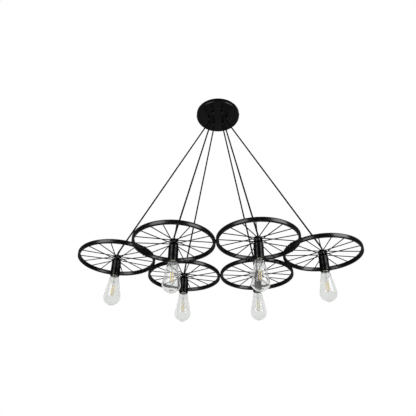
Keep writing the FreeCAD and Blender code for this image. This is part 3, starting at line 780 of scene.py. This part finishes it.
STEP = 0.4  # between the rings of the plain skirt, in mm
BLANK = [(0, 26, 0), (4.5, 26, 0.4), (13.05, 21, 1.5)]
BLANK += [(13.05, 20.4 - STEP * k, 0) for k in range(50)]
BLANK += [(13.05, 0, 0.3), (12.45, 0, 0.2)]
BLANK += [(12.45, 0.8 + STEP * k, 0) for k in range(49)]
BLANK += [(12.45, 20.4, 0), (0, 20.4, 0)]
blank = lathe("cap", rounded(BLANK), 72)
skirt = grow("cap", thread_tree, {
    "Pitch": 3.62 * MM, "Depth": 1 * MM, "Core Radius": 12 * MM, "Start": 3.2 * MM,
    "End": 20.3 * MM, "Fade": 2 * MM, "Finish": nickel}, blank)
for name, edge in cap_edges.items():
    cap = place(skirt, "bulb_" + name + "_screw_cap", edge, nickel)
    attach(cap, "bulb_" + name)
    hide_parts("bulb_" + name + "_cap")
print("cap faces", len(skirt.polygons))

# %% [markdown]
# ## Stem and light sticks
# A hollow glass stem carries the wires into the bulb and ends in a thin glass rod. Four light sticks
# stand round the rod, held by wire arms at both ends. A light stick is a strip of tiny diodes under
# a coat of yellow phosphor, with a bare metal tab at each end. One tree grows the sticks, the tabs
# and the arms: each is a ring of round bars, upright for sticks and tabs and level for the arms.

# %% Build the stick tree
stick_tree, given = new_tree("ring_of_bars", {
    "Count": "Int", "First": "Float", "Spread": "Float", "Middle": "Float", "Length": "Float",
    "Radius": "Float", "Lean": "Float", "Finish": "Material"})
spots, angle = ring_points(
    stick_tree, given["Count"], given["First"], given["Spread"], given["Middle"])
stick = add(stick_tree, "GeometryNodeMeshCylinder", inputs={
    "Vertices": 20, "Side Segments": 1, "Radius": given["Radius"], "Depth": given["Length"]})
lean = add(stick_tree, "ShaderNodeCombineXYZ", inputs={1: given["Lean"], 2: angle})
ring = add(stick_tree, "GeometryNodeInstanceOnPoints",
           inputs={"Points": spots, "Instance": stick.outputs[0], "Rotation": lean.outputs[0]})
end_tree(stick_tree, [ring.outputs[0]], given["Finish"])

# %% Phosphor, and what stands inside each bulb
def lumpy(name, values, size, colours, strength):
    """A finish whose lumps, of a size in mm, change its colour and stand out of it."""
    made, tree, shader = finish_of(name, values)
    spot = add(tree, "ShaderNodeTexCoord").outputs["Object"]
    lumps = add(tree, "ShaderNodeTexNoise",
                inputs={"Vector": spot, "Scale": 1000 / size, "Detail": 3.0}).outputs[0]
    colour = add(tree, "ShaderNodeMix", {"data_type": "RGBA"},
                 {"Factor": lumps, 6: linear(colours[0]), 7: linear(colours[1])})
    bump = add(tree, "ShaderNodeBump",
               inputs={"Strength": strength, "Distance": 0.1 * MM, "Height": lumps})
    feed(shader, {"Base Color": colour.outputs[2], "Normal": bump.outputs[0]})
    return made


phosphor = lumpy("phosphor_coat", {"Roughness": 0.7, "Specular IOR Level": 0.3}, 1.4,
                 ("ecce8a", "f5e2b0"), 0.5)

STEM = [(9.8, 2.4, 0), (10.4, 2.4, 0), (10.4, 0, 1), (4, -9, 3), (4, -25, 1), (1, -30, 1),
        (1, -76, 0.3), (0, -76, 0), (0, -26, 0), (3.4, -24, 1), (3.4, -9, 3), (9.8, 0, 1)]
bars = {"Count": 4, "First": math.pi / 4, "Spread": 5.5 * MM, "Middle": -56 * MM, "Lean": 0.0}
arms = {**bars, "Spread": 3.1 * MM, "Length": 5.2 * MM, "Radius": 0.3 * MM, "Lean": math.pi / 2}
inside = [("stem", lathe("stem", rounded(STEM)), stem_glass, "clear_glass")]
for word, values, finish, finish_slot in (
        ("light_sticks", {**bars, "Length": 33 * MM, "Radius": 1 * MM}, phosphor, "filament_glass"),
        ("tabs", {**bars, "Length": 39 * MM, "Radius": 0.4 * MM}, nickel, "cap_brass"),
        ("high_arms", {**arms, "Middle": -36.8 * MM}, nickel, "cap_brass"),
        ("low_arms", {**arms, "Middle": -75.2 * MM}, nickel, "cap_brass")):
    mesh = grow(word, stick_tree, {**values, "Finish": finish})
    inside.append((word, mesh, finish, finish_slot))
for name, edge in cap_edges.items():
    for word, mesh, finish, finish_slot in inside:
        made = place(mesh, "bulb_" + name + "_" + word, edge, finish)
        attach(made, "bulb_" + name)
        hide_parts("bulb_" + name + "_filament")
print("pieces inside a bulb", len(inside))

# %% [markdown]
# ## Bolts and nuts
# One bolt holds each crossing of a stacked rim and one holds each pair of pads. They are M4 bolts
# with a low socket head and a six-sided key hole. A hot oxide bath blackens them and leaves a thin
# oily shine.

# %% Blackened steel and the joints
oxide = stained_metal("black_oxide_steel", 3, (0.36, 0.52), ("26262a", "35353a"))
M4 = {"Pitch": 0.7 * MM, "Depth": 0.35 * MM, "Core Radius": 1.95 * MM, "Finish": oxide}


def six_sided(mesh, rings):
    """Presses rings of a turned mesh, each a (radius, height) in millimetres, to six flats."""
    for corner in mesh.vertices:
        reach, level = math.hypot(corner.co.x, corner.co.y) / MM, corner.co.z / MM
        if any(abs(reach - r) < 0.01 and abs(level - z) < 0.01 for r, z in rings):
            turn = math.atan2(corner.co.y, corner.co.x) % (math.pi / 3) - math.pi / 6
            corner.co.x /= math.cos(turn)
            corner.co.y /= math.cos(turn)
    return outward(mesh)


def bolt_mesh(half):
    """A socket head bolt whose head sits at -half and whose point is beyond the nut at +half."""
    under, point = -half, half + 3.2
    outline = [(0, under - 1, 0), (1.5, under - 1, 0), (1.5, under - 2.2, 0), (1.8, under - 2.4, 0),
               (3.5, under - 2.4, 0.8), (3.5, under, 0.2), (2, under, 0)]
    outline += [(2, half + 0.2 * k, 0) for k in range(16)]
    outline += [(1.6, point, 0), (0, point, 0)]
    blank = six_sided(lathe("bolt", rounded(outline), 48), [(1.5, under - 1), (1.5, under - 2.2)])
    return grow("bolt", thread_tree, {
        **M4, "Start": half * MM, "End": (point - 0.1) * MM, "Fade": 0.3 * MM}, blank)


def nut_mesh(half):
    """The nut of a joint bolt, with its corners chamfered."""
    low, high = half, half + 2.6
    outline = [(2, low, 0), (3.5, low, 0), (3.5, low + 0.4, 0), (3.5, high - 0.4, 0), (3.5, high, 0),
               (2, high, 0)]
    return six_sided(lathe("nut", rounded(outline), 48), [(3.5, low + 0.4), (3.5, high - 0.4)])


def turned(mesh, axis):
    """A copy of a mesh whose own upright is turned to an axis."""
    copy = mesh.copy()
    copy.transform(Vector((0, 0, 1)).rotation_difference(Vector(axis)).to_matrix().to_4x4())
    return copy


PADS, STACK = 9.7, 16  # half of what a bolt holds together, in mm
JOINTS = [("near_left", "near_right", (1, 0, 0), PADS), ("far_left", "far_right", (1, 0, 0), PADS),
          ("near_left", "far_left", (0, 1, 0), PADS), ("near_right", "far_right", (0, 1, 0), PADS),
          ("left", "near_left", (0, 0, 1), STACK), ("left", "far_left", (0, 0, 1), STACK),
          ("right", "near_right", (0, 0, 1), STACK), ("right", "far_right", (0, 0, 1), STACK)]
for first, second, axis, half in JOINTS:
    spot = (middles[first] + middles[second]) / 2
    bolt = place(turned(bolt_mesh(half), axis), "bolt_" + first + "_to_" + second, spot, oxide)
    nut = place(turned(nut_mesh(half), axis), "nut_" + first + "_to_" + second, spot, oxide)
    for made, node in ((bolt, "rim_bolts"), (nut, "rim_nuts")):
        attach(made, "wheels")
        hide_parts(node)
    print(first, second, [round(v / MM, 1) for v in spot])

# %% [markdown]
# ## Side screws and bracket
# Two button head screws hold the canopy to the ears of its bracket. They are blackened like the
# bolts. The bracket is plain zinc-plated strap: zinc grows in pale crystals, so its sheen changes
# from patch to patch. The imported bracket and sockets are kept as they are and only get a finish.

# %% Side screws
SIDE_SCREW = [(0, 0.6, 0), (1.25, 0.6, 0), (1.25, 1.8, 0), (2.6, 1.8, 0.5), (4, 0.8, 0.6),
              (4, 0, 0.2), (2, 0, 0)]
SIDE_SCREW += [(2, -0.4 - 0.2 * k, 0) for k in range(34)]
SIDE_SCREW += [(1.5, -7.4, 0), (0, -7.4, 0)]
blank = six_sided(lathe("side_screw", rounded(SIDE_SCREW), 48), [(1.25, 0.6), (1.25, 1.8)])
screw_mesh = grow("side_screw", thread_tree, {
    **M4, "Start": -7.3 * MM, "End": -0.6 * MM, "Fade": 0.4 * MM}, blank)
for side, word in ((-1, "left"), (1, "right")):
    spot = (side * CANOPY_RADIUS * MM, 0, -8 * MM)
    screw = place(turned(screw_mesh, (side, 0, 0)), "side_screw_" + word, spot, oxide)
    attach(screw, "canopy")
    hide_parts("canopy_screws")
print("screw length in mm", round(screw.dimensions.x / MM, 1))

# %% Zinc and glazed ceramic
zinc, tree, shader = finish_of("zinc_plated_steel", {"Metallic": 1.0})
spot = add(tree, "ShaderNodeTexCoord").outputs["Object"]
crystal = add(tree, "ShaderNodeTexVoronoi", inputs={"Vector": spot, "Scale": 1000 / 5})
rough = add(tree, "ShaderNodeMapRange",
            inputs={"Value": crystal.outputs["Distance"], "To Min": 0.3, "To Max": 0.5})
colour = add(tree, "ShaderNodeMix", {"data_type": "RGBA"},
             {"Factor": crystal.outputs["Distance"], 6: linear("b4b8bc"), 7: linear("9da2a6")})
feed(shader, {"Base Color": colour.outputs[2], "Roughness": rough.outputs[0]})

glaze = lumpy("black_glazed_ceramic", {"Roughness": 0.3}, 2, ("0c0c0c", "1a1a19"), 0.3)

refinish("mounting_bracket", zinc)
for name in middles:
    refinish("socket_" + name, glaze)

# %% [markdown]
# ## The stage
# The light hangs in front of a white world over a pale floor. The camera sees the world white, and
# so does glass, through itself and in its sharp reflections. For diffuse rays the world is a soft
# fill light, and with the two softboxes it lights a grey card about as its colour is written. The
# softboxes stand a metre and a half away and lower than the canopy, which lays the long highlights
# on the fronts of the rims. They shine on the outside of the glass but aren't seen through it, where
# their rays would only turn into grain. What else satin steel mirrors is almost dark, like the room
# behind a photographer: in the photo the steel stays nearly black although it hangs before white.
# The floor is most of the way to white for the camera and keeps the light's soft shadow.

# %% Floor
def white_for(tree, part):
    """How white a ray sees a backdrop: wholly from the camera and in glass, and else not at all."""
    rays = add(tree, "ShaderNodeLightPath").outputs
    seen = rays["Is Camera Ray"]
    for kind in ("Is Singular Ray", "Is Transmission Ray"):
        most = add(tree, "ShaderNodeMath", {"operation": "MAXIMUM"}, {0: seen, 1: rays[kind]})
        seen = most.outputs[0]
    return add(tree, "ShaderNodeMath", {"operation": "MULTIPLY"}, {0: seen, 1: part}).outputs[0]


floor_finish, tree, shader = finish_of(
    "pale_floor", {"Base Color": linear("8a8a88"), "Roughness": 0.9})
pale = add(tree, "ShaderNodeEmission", inputs={"Color": linear("fafaf9"), "Strength": 1.0})
both = add(tree, "ShaderNodeMixShader",
           inputs={0: white_for(tree, 0.85), 1: shader.outputs[0], 2: pale.outputs[0]})
feed(tree.nodes["Material Output"], {0: both.outputs[0]})
LEVEL, REACH = -2.6, 80
corners = [(REACH * x, REACH * y, LEVEL) for x, y in ((-1, -1), (1, -1), (1, 1), (-1, 1))]
sheet = bpy.data.meshes.new("floor")
sheet.from_pydata(corners, [], [(0, 1, 2, 3)])
sheet.materials.append(floor_finish)
floor = bpy.data.objects.new("floor", sheet)
scene.collection.objects.link(floor)
floor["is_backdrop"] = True

# %% World
world = bpy.data.worlds.new("studio")
scene.world = world
world.use_nodes = True
tree = world.node_tree
tree.nodes.clear()
WHITE = linear("ffffff")
FILL, ROOM = 0.57, 0.08
rays = add(tree, "ShaderNodeLightPath")
fill = add(tree, "ShaderNodeMapRange",
           inputs={"Value": rays.outputs["Is Glossy Ray"], "To Min": FILL, "To Max": ROOM})
soft_light = add(tree, "ShaderNodeBackground", inputs={"Color": WHITE, "Strength": fill.outputs[0]})
backdrop = add(tree, "ShaderNodeBackground", inputs={"Color": WHITE, "Strength": 1.0})
both = add(tree, "ShaderNodeMixShader",
           inputs={0: white_for(tree, 1.0), 1: soft_light.outputs[0], 2: backdrop.outputs[0]})
add(tree, "ShaderNodeOutputWorld", inputs={0: both.outputs[0]})

# %% Two softboxes
def softbox(name, spot, aim, power):
    """A square soft lamp that points at a place."""
    light = bpy.data.lights.new(name, "AREA")
    light.size = 0.9
    light.energy = power
    made = bpy.data.objects.new(name, light)
    made.visible_transmission = False
    made.location = spot
    made.rotation_euler = (Vector(aim) - Vector(spot)).to_track_quat("-Z", "Y").to_euler()
    scene.collection.objects.link(made)


softbox("left_softbox", (-0.94, -1.29, -0.36), (-0.25, 0, -0.75), 10)
softbox("right_softbox", (1.29, -0.94, -0.36), (0.25, 0, -0.75), 14)

# %% [markdown]
# ## Sizes and the end
# The last call prints the box round the dressed model, without the floor.

# %% Print the box of the dressed model
low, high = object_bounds()
print("looks box", [round(v, 4) for v in (*low, *high)])
